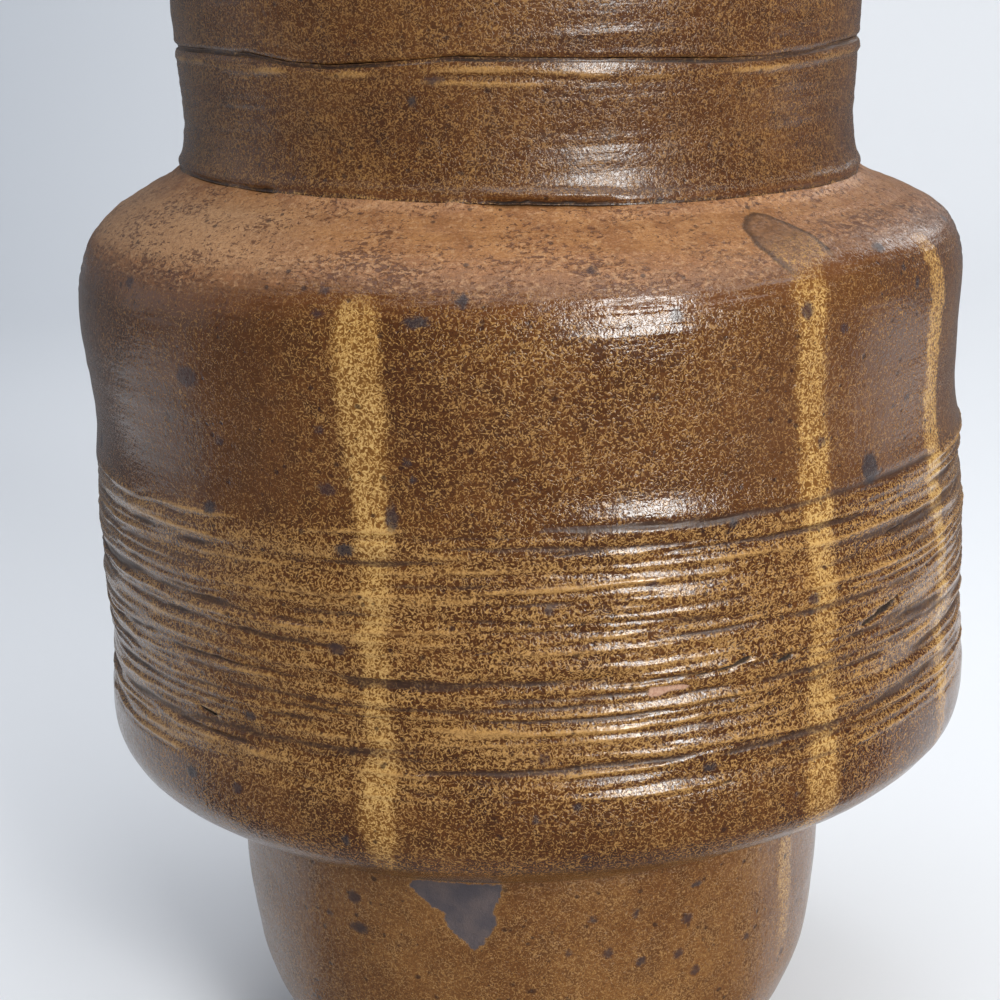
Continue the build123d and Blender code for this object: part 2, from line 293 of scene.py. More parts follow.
# azimuth and height of each end, half width, depth
CRACKS = [
    (41.0, 106.0, 44.2, 107.1, .42, 1.0), (44.2, 107.1, 47.0, 108.0, .55, 1.0), (46.2, 107.2, 47.2, 108.6, .4, .9),
    (17.0, 104.2, 20.6, 104.6, .26, .6), (20.6, 104.6, 23.5, 105.8, .34, .9), (27.4, 104.1, 29.2, 104.5, .34, .8),
    (46.0, 119.8, 49.5, 120.2, .22, .7), (20.0, 85.3, 21.6, 85.5, .26, .7), (-45.6, 94.2, -43.0, 93.4, .34, .9),
    (-8.2, 109.9, -5.2, 110.6, .24, .5), (151.0, 98.2, 156.5, 99.4, .4, .9), (203.0, 116.8, 207.4, 116.2, .3, .8),
    (248.0, 104.6, 253.2, 105.6, .36, .9), (118.0, 90.4, 121.0, 90.8, .3, .7),
]
BARE = [
    (-24.6, 58.0), (-24.0, 59.6), (-7.8, 59.6), (-8.4, 57.6), (-9.9, 54.8), (-9.2, 52.2), (-10.8, 49.6), (-12.5, 47.4),
    (-13.8, 46.8), (-15.8, 48.6), (-18.1, 50.8), (-18.8, 53.0), (-18.0, 53.8), (-20.4, 54.2), (-22.3, 56.2),
]
CHIP = [(11.4, 101.5), (11.8, 103.4), (13.6, 103.1), (15.0, 103.2), (16.4, 102.8), (15.6, 102.2), (14.2, 102.4), (12.8, 101.7)]
ZONE = [
    (-180, 166.2), (-140, 166.8), (-100, 165.6), (-60, 166.0), (-50, 165.5), (-40, 166.0), (-30, 166.5), (-20, 167.0),
    (-10, 166.0), (0, 166.0), (10, 165.2), (20, 165.0), (30, 166.0), (40, 168.0), (60, 168.2), (100, 167.0), (140, 165.8), (180, 166.2),
]


BRUSH_END = [
    (29.2, 171.6), (31.2, 172.8), (33.6, 173.2), (35.6, 172.6), (37.2, 171.2), (38.3, 169.6), (38.7, 168.2),
    (38.5, 166.4), (38.0, 164.5), (37.0, 161.0), (32.4, 161.0), (31.0, 164.5), (29.2, 167.5), (28.4, 169.6),
]


def within(points, az, z, r):
    """Signed distance in mm to a closed outline of (azimuth, height) points, positive inside."""
    p = np.array(points, float)
    mid = p[:, 0].mean()
    k = math.pi / 180 * float(np.mean(r))
    x, y = turn(az - mid) * k, z
    px, py = (p[:, 0] - mid) * k, p[:, 1]
    best = np.full(x.shape, 1e9)
    inside = np.zeros(x.shape, bool)
    for i in range(len(p)):
        j = (i + 1) % len(p)
        dx, dy = px[j] - px[i], py[j] - py[i]
        t = np.clip(((x - px[i]) * dx + (y - py[i]) * dy) / (dx * dx + dy * dy), 0, 1)
        best = np.minimum(best, np.hypot(x - px[i] - t * dx, y - py[i] - t * dy))
        cross = (py[i] > y) != (py[j] > y)
        inside ^= cross & (x < dx * (y - py[i]) / (dy if abs(dy) > 1e-9 else 1e-9) + px[i])
    return np.where(inside, best, -best)


def near_line(a0, z0, a1, z1, az, z, r):
    k = math.pi / 180 * float(np.mean(r))
    mid = (a0 + a1) / 2
    x, y = turn(az - mid) * k, z
    x0, x1 = (a0 - mid) * k, (a1 - mid) * k
    dx, dy = x1 - x0, z1 - z0
    t = np.clip(((x - x0) * dx + (y - z0) * dy) / (dx * dx + dy * dy), 0, 1)
    return np.hypot(x - x0 - t * dx, y - z0 - t * dy), t


def marks(az, z):
    """Every outside feature at (azimuth, height): the relief in mm and the masks the glaze reads."""
    n = len(z)
    r = radius_at(z)
    u = (az + 180) / 360
    arc = math.pi / 180 * r
    s = along(z)
    out = {}
    relief, tone = comb(az, z)

    # throwing rings and slow wander of the wall
    body = smooth(58, 64, z) * smooth(170, 164, z)
    relief += 0.16 * layered(u, s / 26, 9, 11) + 0.07 * layered(u, s / 9, 28, 12)
    relief += 0.035 * lattice(u, s / 1.9, 5, 13) * (1 - 0.4 * smooth(84, 88, z) * smooth(130, 126, z))
    relief += 0.05 * lattice(u, s / 4.2, 4, 14)

    # the band: clay dragged round by the tool
    band = smooth(82, 87, z) * smooth(131, 127, z)
    drag = layered(u, s / 1.25, 40, 21, 3)
    relief += band * (0.11 * drag + 0.40 * layered(u, s / 3.6, 16, 22, 2))
    tone += band * (0.55 * drag + 0.1)

    # ribs left round the shoulder's edge, strongest just right of the front
    edge = smooth(157.5, 160.5, z) * smooth(166.5, 164.0, z)
    front = 0.45 + 0.55 * np.exp(-(turn(az - 12) / 26) ** 2)
    relief += edge * front * (0.18 * np.sin((z - 160.2 + 0.25 * lattice(u, s * 0, 30, 31, 3)) * TAU / 1.75)
                              + 0.20 * layered(u, s / 0.9, 60, 32, 2))
    # smeared step on the bare shoulder
    sh = smooth(165.5, 168, z) * smooth(178.2, 176.5, z)
    relief += sh * (0.09 * layered(u, s / 1.5, 60, 33, 3) + 0.06 * lattice(u, s / 0.9, 16, 34))

    # lower lip of the wall over the band
    lip = (0.50 + 0.62 * np.exp(-(turn(az - 14) / 24) ** 2)) * (0.9 + 0.3 * lattice(u, s * 0, 11, 35, 3))
    relief += lip * np.exp(-((z - 128.6) / 3.7) ** 2) * (z > 128.6)
    relief += lip * smooth(122.0, 128.6, z) * (z <= 128.6)
    # joint of shoulder and neck
    seam = ring_curve(NECK_SEAM, az) + 0.16 * lattice(u, s * 0, 120, 41, 3) + 0.08 * lattice(u, s * 0, 420, 42, 3)
    d = z - seam
    a = turn(az)
    deep = 0.16 + 0.84 * smooth(-8, -4, a) * smooth(16, 11, a) + 0.75 * smooth(-70, -64, a) * smooth(-39, -43, a)
    deep = np.where(np.abs(a) > 72, 0.3 + 0.5 * smooth(-0.1, 0.6, lattice(u, s * 0, 14, 45, 3)), deep)
    deep = deep * (0.8 + 0.4 * lattice(u, s * 0, 50, 43, 3))
    relief -= 0.75 * deep * np.exp(-((d + 0.15) / 0.55) ** 2) * (np.abs(d) < 3)
    hang = 0.22 + 0.45 * smooth(-8, -4, a) * smooth(14, 10, a)
    relief += hang * np.exp(-((d - 1.0) / 0.7) ** 2)
    bead = smooth(-44, -38, a) * smooth(-2, -7, a) * (0.45 + 0.55 * lattice(u, s * 0, 170, 44, 3)).clip(0, 1.3)
    relief += 0.45 * bead * np.exp(-((d + 0.35) / 0.5) ** 2)
    tone += 1.2 * bead * np.exp(-((d + 0.2) / 0.6) ** 2)
    # painted shadow: the undercut below the neck's overhanging edge is painted near-black, with painted shade around it
    crack = 1.0 * deep * np.exp(-((d + 0.05) / 0.22) ** 2) * (np.abs(d) < 2)
    tone -= 0.9 * deep * np.exp(-((d + 0.1) / 0.45) ** 2)

    # collar groove, its lit lower edge, and the scratch below it
    seam2 = ring_curve(COLLAR_SEAM, az) + 0.10 * lattice(u, s * 0, 130, 51, 3)
    d2 = z - seam2
    near2 = np.abs(d2) < 5
    cut = 0.75 + 0.35 * lattice(u, s * 0, 44, 52, 3)
    relief -= 0.62 * cut * np.exp(-(d2 / 0.48) ** 2) * near2
    relief += 0.16 * np.exp(-((d2 - 1.1) / 0.6) ** 2) * near2
    glint = np.interp(a, [-180, -110] + [p[0] for p in GLINT] + [60, 110, 180],
                      [196.8, 198.0] + [p[1] for p in GLINT] + [195.6, 196.2, 196.8])
    lit = 0.7 + 0.5 * lattice(u, s * 0, 70, 53, 3)
    gl = z - glint - 0.12 * lattice(u, s * 0, 150, 54, 3)
    relief += 0.26 * lit * np.exp(-(gl / 0.48) ** 2)
    relief -= 0.14 * lit * np.exp(-((gl + 0.95) / 0.4) ** 2)
    # painted shadow darkens the groove under the upper section's edge, and the lit lower edge is painted paler as a
    # highlight
    tone += 1.25 * lit * np.exp(-(gl / 0.6) ** 2) - 1.0 * cut * np.exp(-(d2 / 0.62) ** 2) * near2
    crack = np.maximum(crack, 0.75 * cut * np.exp(-(d2 / 0.33) ** 2) * near2)
    scr = smooth(-17, -13, a) * smooth(5, 1, a)
    scz = 195.7 - 0.05 * (a + 6)
    relief += scr * (0.22 * np.exp(-((z - scz + 0.5) / 0.45) ** 2) - 0.2 * np.exp(-((z - scz - 0.35) / 0.4) ** 2))
    tone += scr * (1.1 * np.exp(-((z - scz + 0.5) / 0.6) ** 2) - 0.7 * np.exp(-((z - scz - 0.35) / 0.5) ** 2))
    # ripples round the neck
    neck = smooth(178, 181, z)
    relief += neck * (0.075 * lattice(u, s / 0.85, 7, 61) + 0.08 * lattice(u, s / 2.6, 6, 62) + 0.07 * layered(u, s / 5.0, 26, 63, 2))
    tone += neck * 0.35 * lattice(u, s / 0.95, 9, 61)

    # crease under the body, painted darker along its line as shade under the body's edge
    crease = z - (59.9 + 0.0104 * r * np.sin(np.radians(az)))
    relief -= 0.35 * np.exp(-(crease / 0.9) ** 2)
    crack = np.maximum(crack, 0.28 * np.exp(-(crease / 0.5) ** 2) * (0.6 + 0.6 * lattice(u, s * 0, 60, 71, 3)))
    tone -= 0.5 * np.exp(-(crease / 0.8) ** 2)

    # stripes
    stripe = np.full(n, -9.0)
    amount = np.zeros(n)
    for k, run in enumerate(STRIPES + FOOT_STRIPES):
        run = sorted(run)
        hs = [p[0] for p in run]
        c = np.interp(z, hs, [p[1] for p in run])
        hw = np.interp(z, hs, [p[2] for p in run])
        am = np.interp(z, hs, [p[3] for p in run])
        over = np.maximum(hs[0] - z, z - hs[-1])
        dd = turn(az - c) * arc + 0.60 * layered(u, s / 5, 60, 200 + k, 2) + 0.45 * layered(u, s / 1.6, 190, 240 + k, 2)
        sdf = np.where(over > 0, -over * 3 - 1, hw - np.abs(dd))
        new = sdf > stripe
        stripe = np.where(new, sdf, stripe)
        amount = np.where(new, am, amount)
    relief += 0.10 * smooth(-1.2, 1.2, stripe) * amount

    # the rounded end of the second stripe, on the shoulder
    m = np.flatnonzero((z > 158) & (z < 178) & (np.abs(turn(az - 30)) < 14))
    blob = np.full(n, -6.0)
    outline = [(p[0], along(p[1])) for p in BRUSH_END]
    blob[m] = within(outline, az[m], s[m], r[m]) + 0.22 * layered(u[m], s[m] / 2.5, 180, 77, 2)
    relief += 0.12 * smooth(-0.6, 0.8, blob)

    # specks, bubbles and pits
    speck = np.full(n, -6.0)
    for a0, z0, ha, hz, soft in SPECKS:
        m = np.flatnonzero((np.abs(z - z0) < hz + 4) & (np.abs(turn(az - a0)) * arc < ha + 4))
        if not len(m):
            continue
        q = np.hypot(turn(az[m] - a0) * arc[m] / ha, (s[m] - along(z0)) / hz)
        sdf = (1 - q) * min(ha, hz) - soft * 0.35
        speck[m] = np.maximum(speck[m], np.maximum(sdf, -6))
        relief[m] += (0.06 if soft > .3 else -0.08) * np.exp(-(q ** 2) * 1.1)
    for a0, z0, a1, z1, wide, depth in CRACKS:
        m = np.flatnonzero((z > min(z0, z1) - 4) & (z < max(z0, z1) + 4))
        dist, t = near_line(a0, z0, a1, z1, az[m], z[m], r[m])
        w = wide * (1 + 0.35 * lattice(u[m], z[m] * 0, 500, 88, 3))
        k = np.exp(-(dist / (w * 1.15)) ** 2)
        relief[m] -= 0.8 * depth * k
        crack[m] = np.maximum(crack[m], 1.25 * depth * k)
    m = np.flatnonzero((z > 40) & (z < 66) & (np.abs(turn(az + 16)) < 22))
    bare = np.full(n, -6.0)
    bare[m] = np.maximum(within(BARE, az[m], z[m], r[m]), -6)
    relief -= 0.12 * smooth(-0.35, 0.35, bare)
    m = np.flatnonzero((z > 97) & (z < 108) & (np.abs(turn(az - 14)) < 8))
    chip = np.full(n, -6.0)
    chip[m] = np.maximum(within(CHIP, az[m], z[m], r[m]), -6)
    relief -= 0.22 * smooth(-0.3, 0.3, chip)

    zone = np.clip(along(z) - along(ring_curve(ZONE, az)), -12, 12)
    zone = np.where(z > 190, -12, zone)
    # the shoulder ends at the neck joint
    zone = np.where(d > -0.2, np.minimum(zone, -(d + 0.2) * 4), zone)

    # where the golden crystals crowd: most at the front, few on the left of the upper wall
    crowd = 0.05 * np.exp(-(turn(az - 2) / 24) ** 2) * smooth(128, 134, z) * smooth(168, 160, z) + 0.20 * band
    crowd -= 0.16 * smooth(-23, -30, a) * smooth(-125, -100, a) * smooth(127, 133, z) * smooth(172, 160, z)
    crowd += 0.10 * np.exp(-(turn(az - 175) / 60) ** 2) * smooth(128, 134, z) * smooth(168, 160, z)
    crowd -= 0.04 * smooth(155.5, 160.5, z) * (z < 176)
    crowd += 0.05 * layered(u, s / 30, 8, 91, 2)

    # painted sheen: the crystals are veiled in a flat cloudy brown where the glaze's broad reflection falls, right of
    # the front and on the left
    haze = smooth(12, 30, a) * smooth(118, 84, a) + 0.55 * smooth(-24, -34, a) * smooth(-120, -84, a)
    haze = haze * smooth(126, 132, z) * smooth(176, 168, z) * (0.85 + 0.35 * layered(u, s / 16, 14, 92, 2))
    haze = np.clip(haze + 0.35 * smooth(78, 84, z) * smooth(131, 126, z) * smooth(-24, -36, a) * smooth(-120, -84, a), 0, 1)

    # painted light: the left of the bare shoulder is painted paler, as for light falling on it from the left
    dry_side = smooth(-22, -42, a) * smooth(-110, -78, a) * smooth(167, 170.5, z) * smooth(177.5, 174.5, z)
    dry_side = np.clip(dry_side * (1 + 0.3 * layered(u, s / 6, 30, 93, 2)), 0, 1)

    out.update(crowd=crowd, haze=haze, dry_side=dry_side, tone=tone, crack=np.clip(crack, 0, 1.4), stripe=stripe, amount=amount, blob=np.maximum(blob, -6),
               speck=speck, bare=bare, chip=chip, zone=zone, band=band)
    # nothing is added right on the foot ring
    relief *= smooth(0.5, 6.0, z)
    return relief, out


KEYS = ["crowd", "haze", "dry_side", "tone", "crack", "stripe", "amount", "blob", "speck", "bare", "chip", "zone", "band"]
OFF = dict(crowd=0.0, haze=0.0, dry_side=0.0, tone=0.0, crack=0.0, stripe=-9.0, amount=0.0, blob=-6.0, speck=-6.0, bare=-6.0, chip=-6.0, zone=-12.0, band=0.0)


# ------------------------------------------------------------------ building closed turned meshes
def ring_angles(front, back):
    """Azimuths in degrees, closer together over the front half."""
    return np.r_[np.linspace(-90, 90, front, endpoint=False), np.linspace(90, 270, back, endpoint=False)]


def inner_relief(az, z, r):
    u = (az + 180) / 360
    return (0.22 * lattice(u, z / 3.4, 3, 301) + 0.16 * layered(u, z / 7.5, 12, 302)
            + 0.10 * np.sin((z + 3.0 * u) * TAU / 5.2)) * smooth(0, 12, r) * smooth(9.0, 12.0, z + r * 0.1)


def turned(name, runs, az, node, material, closed=True):
    """A closed mesh of revolution from runs of (points, kind); every run starts where the last one ends."""
    rows = []
    for pts, kind in runs:
        pts = np.asarray(pts, float)
        tan = np.gradient(pts, axis=0) if len(pts) > 2 else np.repeat(pts[1:] - pts[:1], 2, 0)
        nrm = np.stack([tan[:, 1], -tan[:, 0]], 1)
        nrm /= np.maximum(np.linalg.norm(nrm, axis=1, keepdims=True), 1e-9)
        for i in range(len(pts)):
            row = [pts[i, 0], pts[i, 1], nrm[i, 0], nrm[i, 1], kind, False]
            if i == 0 and rows:
                if kind == "out" and rows[-1][4] != "out":
                    rows[-1] = row
                rows[-1][5] = True
                continue
            rows.append(row)
    if closed:
        last = rows.pop()
        rows[0][5] = True
        if last[4] == "out" and rows[0][4] != "out":
            rows[0][2:5] = last[2:5]
    if not closed:
        rows[0][4] = rows[-1][4] = "pole"
    count = len(az)
    r0 = np.array([q[0] for q in rows])[:, None] * np.ones(count)
    z0 = np.array([q[1] for q in rows])[:, None] * np.ones(count)
    nr = np.array([q[2] for q in rows])[:, None]
    nz = np.array([q[3] for q in rows])[:, None]
    kinds = np.array([q[4] for q in rows])
    A = np.radians(az)[None, :] * np.ones((len(rows), 1))
    x, y, z = settle(r0 * np.sin(A), -r0 * np.cos(A), z0)
    azf = np.degrees(np.arctan2(x, -y))
    push = np.zeros_like(z)
    data = {k: np.full(z.shape, OFF[k]) for k in KEYS}
    out = np.isin(kinds, ["out"])
    if out.any():
        rel, vals = marks(azf[out].ravel(), z[out].ravel())
        push[out] = rel.reshape(z[out].shape)
        for k in KEYS:
            data[k][out] = vals[k].reshape(z[out].shape)
    inn = kinds == "in"
    if inn.any():
        push[inn] = inner_relief(azf[inn], z[inn], r0[inn])
    lip = kinds == "lip"
    if lip.any():
        uu = (azf[lip] + 180) / 360
        push[lip] = 0.18 * layered(uu, z[lip] / 6, 18, 311, 2) + 0.05 * lattice(uu, z[lip] / 1.5, 60, 312)
    slip = kinds == "slip"
    if slip.any():
        uu = (azf[slip] + 180) / 360
        push[slip] = 0.10 * layered(uu, z[slip], 90, 313, 2)
    data["inner"] = np.isin(kinds, ["in", "hid"])[:, None] * np.ones(count)
    data["raw"] = np.where(kinds[:, None] == "foot", 4.0, np.clip(4.2 - z0 + 0.9 * layered((azf + 180) / 360, z / 4, 50, 321, 3), -6, 4))
    if not name.startswith("foot_bowl"):
        data["raw"][:] = -6.0
    A2 = np.arctan2(x, -y)
    x, y, z = x + push * nr * np.sin(A2), y - push * nr * np.cos(A2), z + push * nz

    verts, faces, index = [], [], []
    total = 0
    keep = {k: [] for k in data}
    for i in range(len(rows)):
        if kinds[i] == "pole":
            verts.append([[float(x[i].mean()), float(y[i].mean()), float(z[i].mean())]])
            index.append(np.full(count, total))
            total += 1
            for k in data:
                keep[k].append(data[k][i][:1])
        else:
            verts.append(np.stack([x[i], y[i], z[i]], 1))
            index.append(np.arange(total, total + count))
            total += count
            for k in data:
                keep[k].append(data[k][i])
    verts = np.vstack(verts) / 1000
    spans = range(len(rows)) if closed else range(len(rows) - 1)
    sharp_rows = set(i for i, q in enumerate(rows) if q[5])
    loops, sizes = [], []
    for i in spans:
        a, b = index[i], index[(i + 1) % len(rows)]
        a2, b2 = np.roll(a, -1), np.roll(b, -1)
        if a[0] == a[-1]:
            loops.append(np.stack([a, b2, b], 1).ravel())
            sizes.append(np.full(count, 3))
        elif b[0] == b[-1]:
            loops.append(np.stack([a, a2, b], 1).ravel())
            sizes.append(np.full(count, 3))
        else:
            loops.append(np.stack([a, a2, b2, b], 1).ravel())
            sizes.append(np.full(count, 4))
    loops, sizes = np.concatenate(loops), np.concatenate(sizes)
    mesh = bpy.data.meshes.new(name)
    mesh.vertices.add(len(verts))
    mesh.vertices.foreach_set("co", verts.ravel())
    mesh.loops.add(len(loops))
    mesh.loops.foreach_set("vertex_index", loops.astype(np.int32))
    mesh.polygons.add(len(sizes))
    starts = np.r_[0, np.cumsum(sizes)[:-1]].astype(np.int32)
    mesh.polygons.foreach_set("loop_start", starts)
    mesh.polygons.foreach_set("loop_total", sizes.astype(np.int32))
    mesh.update(calc_edges=True)
    mesh.validate()
    mesh.polygons.foreach_set("use_smooth", np.ones(len(mesh.polygons), bool))
    marked = np.zeros(len(verts), bool)
    for i in sharp_rows:
        marked[index[i]] = True
    ev = np.empty(len(mesh.edges) * 2, np.int32)
    mesh.edges.foreach_get("vertices", ev)
    ev = ev.reshape(-1, 2)
    row_of = np.empty(len(verts), np.int32)
    for i in range(len(rows)):
        row_of[index[i]] = i
    crisp = marked[ev[:, 0]] & marked[ev[:, 1]] & (row_of[ev[:, 0]] == row_of[ev[:, 1]])
    att = mesh.attributes.new("sharp_edge", "BOOLEAN", "EDGE")
    att.data.foreach_set("value", crisp)
    for k in data:
        att = mesh.attributes.new(k, "FLOAT", "POINT")
        att.data.foreach_set("value", np.concatenate(keep[k]).astype(np.float32))
    mesh.materials.append(material)
    obj = bpy.data.objects.new(name, mesh)
    bpy.context.scene.collection.objects.link(obj)
    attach(obj, "root")
    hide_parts(node)
    print("piece", name, "verts", len(verts), "tris", int((sizes - 2).sum()))
    return obj


def line(points, spacing):
    """Straight runs between the points, split about every spacing mm."""
    p = np.asarray(points, float)
    out = [p[:1]]
    for a, b in zip(p[:-1], p[1:]):
        n = max(1, int(math.ceil(np.hypot(*(b - a)) / spacing)))
        out.append(a + (b - a) * np.linspace(0, 1, n + 1)[1:, None])
    return np.vstack(out)


def hidden(points):
    return [(np.array([a, b], float), "hid") for a, b in zip(points[:-1], points[1:])]


# ------------------------------------------------------------------ glazes
def srgb(r, g, b):
    def lin(c):
        c /= 255
        return c / 12.92 if c <= 0.04045 else ((c + 0.055) / 1.055) ** 2.4
    return (lin(r), lin(g), lin(b), 1.0)


class Tree:
    """Short names for the node calls that the glazes need."""

    def __init__(self, name):
        self.mat = bpy.data.materials.new(name)
        self.mat.use_nodes = True
        self.t = self.mat.node_tree
        self.t.nodes.clear()
        self.out = self.t.nodes.new("ShaderNodeOutputMaterial")
        self.bsdf = self.t.nodes.new("ShaderNodeBsdfPrincipled")
        self.t.links.new(self.bsdf.outputs[0], self.out.inputs[0])
        coord = self.t.nodes.new("ShaderNodeTexCoord")
        self.p = self.vec("MULTIPLY", coord.outputs["Object"], (1000, 1000, 1000))

    def put(self, socket, value):
        if isinstance(value, bpy.types.NodeSocket):
            self.t.links.new(value, socket)
        else:
            socket.default_value = value

    def math(self, op, a, b=0.0, c=0.0, clamp=False):
        n = self.t.nodes.new("ShaderNodeMath")
        n.operation = op
        n.use_clamp = clamp
        for i, v in enumerate((a, b, c)):
            self.put(n.inputs[i], v)
        return n.outputs[0]

    def add(self, *terms):
        s = terms[0]
        for t in terms[1:]:
            s = self.math("ADD", s, t)
        return s

    def mul(self, a, b):
        return self.math("MULTIPLY", a, b)

    def mad(self, a, b, c):
        return self.math("MULTIPLY_ADD", a, b, c)

    def vec(self, op, a, b):
        n = self.t.nodes.new("ShaderNodeVectorMath")
        n.operation = op
        self.put(n.inputs[0], a)
        self.put(n.inputs[1], b)
        return n.outputs[0]

    def step(self, x, lo, hi):
        n = self.t.nodes.new("ShaderNodeMapRange")
        n.interpolation_type = "SMOOTHSTEP"
        self.put(n.inputs["Value"], x)
        self.put(n.inputs["From Min"], lo)
        self.put(n.inputs["From Max"], hi)
        return n.outputs[0]

    def noise(self, scale, detail=0.0, rough=0.5, bend=0.0, squeeze=None, offset=None):
        n = self.t.nodes.new("ShaderNodeTexNoise")
        v = self.p
        if squeeze:
            v = self.vec("MULTIPLY", v, squeeze)
        if offset:
            v = self.vec("ADD", v, offset)
        self.put(n.inputs["Vector"], v)
        n.inputs["Scale"].default_value = scale
        n.inputs["Detail"].default_value = detail
        n.inputs["Roughness"].default_value = rough
        n.inputs["Distortion"].default_value = bend
        return n.outputs[0]

    def cells(self, scale, squeeze=None, feature="F1", jitter=1.0, at=None):
        n = self.t.nodes.new("ShaderNodeTexVoronoi")
        n.feature = feature
        v = at or (self.vec("MULTIPLY", self.p, squeeze) if squeeze else self.p)
        self.put(n.inputs["Vector"], v)
        n.inputs["Scale"].default_value = scale
        n.inputs["Randomness"].default_value = jitter
        return n

    def warped(self, scale, amount):
        n = self.t.nodes.new("ShaderNodeTexNoise")
        self.put(n.inputs["Vector"], self.p)
        n.inputs["Scale"].default_value = scale
        n.inputs["Detail"].default_value = 0.0
        shift = self.vec("MULTIPLY", self.vec("SUBTRACT", n.outputs[1], (0.5, 0.5, 0.5)), (amount, amount, amount))
        return self.vec("ADD", self.p, shift)

    def attr(self, name):
        n = self.t.nodes.new("ShaderNodeAttribute")
        n.attribute_name = name
        return n.outputs["Fac"]

    def mix(self, fac, a, b, mode="MIX"):
        n = self.t.nodes.new("ShaderNodeMix")
        n.data_type = "RGBA"
        n.blend_type = mode
        self.put(n.inputs["Factor"], fac)
        self.put(n.inputs[6], a)
        self.put(n.inputs[7], b)
        return n.outputs[2]

    def blend(self, fac, a, b):
        n = self.t.nodes.new("ShaderNodeMix")
        n.data_type = "FLOAT"
        self.put(n.inputs["Factor"], fac)
        self.put(n.inputs[2], a)
        self.put(n.inputs[3], b)
        return n.outputs[0]


